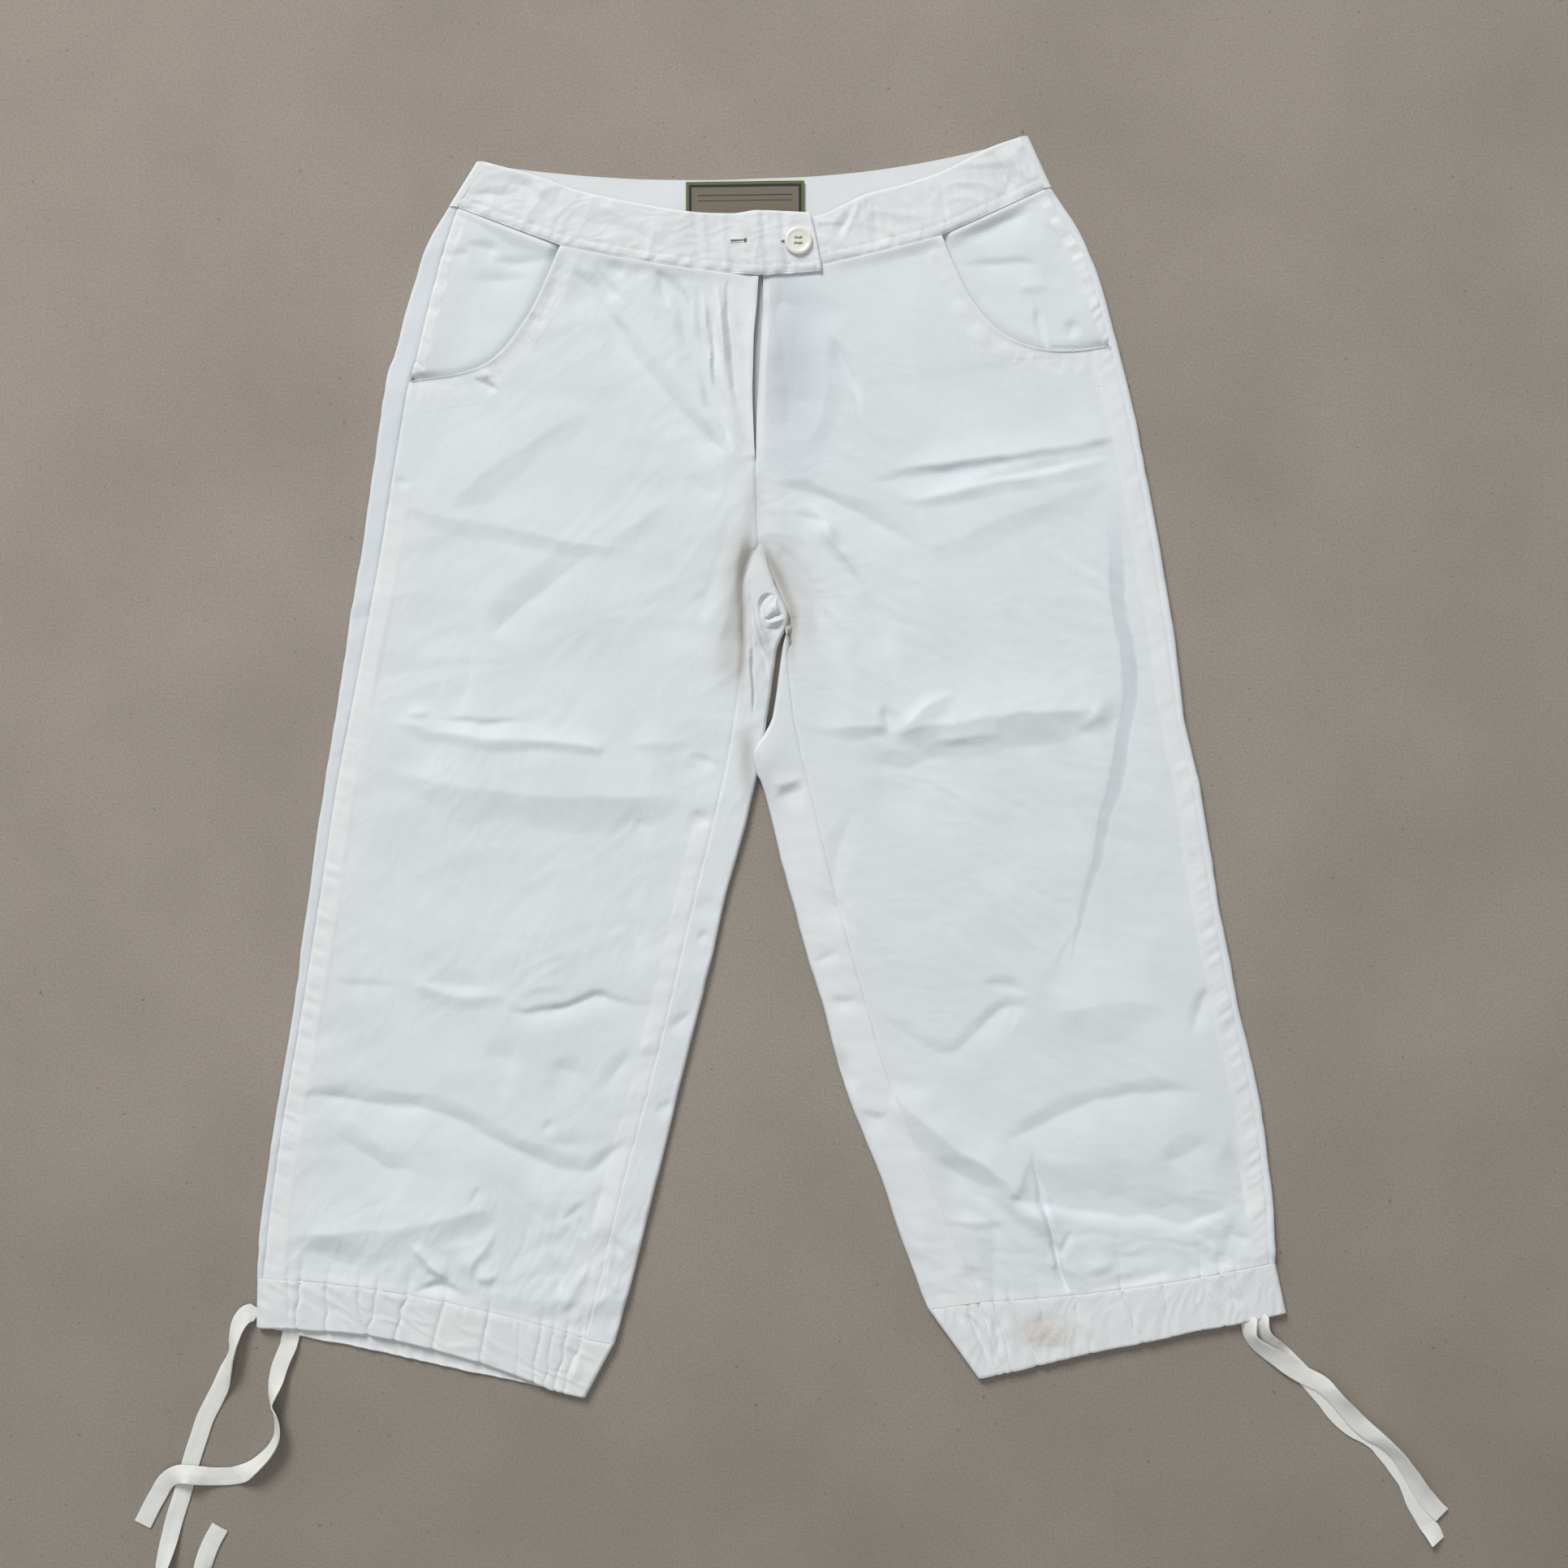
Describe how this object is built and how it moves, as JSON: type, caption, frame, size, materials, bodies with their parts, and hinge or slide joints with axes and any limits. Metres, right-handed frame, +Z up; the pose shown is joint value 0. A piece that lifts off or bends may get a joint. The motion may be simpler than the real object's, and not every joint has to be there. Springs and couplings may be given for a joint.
{
  "type": "capri pants",
  "caption": "White cotton capri pants laid flat, with a curved waistband, scooped front pockets, fly and gathered drawstring hems.",
  "frame": {"origin": "on the floor, under the middle of the pants' box, drawstring ends not counted", "axes": "+X to the viewer's right across the pants, +Y up the pants towards the waist, +Z up from the floor out of the front"},
  "size_m": [0.9006, 1.01, 0.012],
  "materials": {
    "cotton_cloth": "plain woven cotton, matt, creased",
    "double_cloth": "two layers of plain woven cotton, topstitched",
    "drawstring_tape": "flat herringbone cotton tape",
    "label_tape": "woven label with olive and dark borders",
    "button_resin": "ivory resin, satin polish"
  },
  "bodies": {
    "root": {"front_left": "cotton_cloth", "front_right": "cotton_cloth", "back_left": "cotton_cloth", "back_right": "cotton_cloth", "pocket_facing_left": "cotton_cloth", "pocket_facing_right": "cotton_cloth", "fly_underlap": "cotton_cloth", "waistband_back": "double_cloth", "waistband_front_left": "double_cloth", "waistband_front_right": "double_cloth", "hem_casing_left": "double_cloth", "hem_casing_right": "double_cloth", "label": "label_tape", "button": "button_resin", "drawstring_left_long": "drawstring_tape", "drawstring_left_short": "drawstring_tape", "drawstring_right_upper": "drawstring_tape", "drawstring_right_lower": "drawstring_tape"}
  },
  "joints": []
}
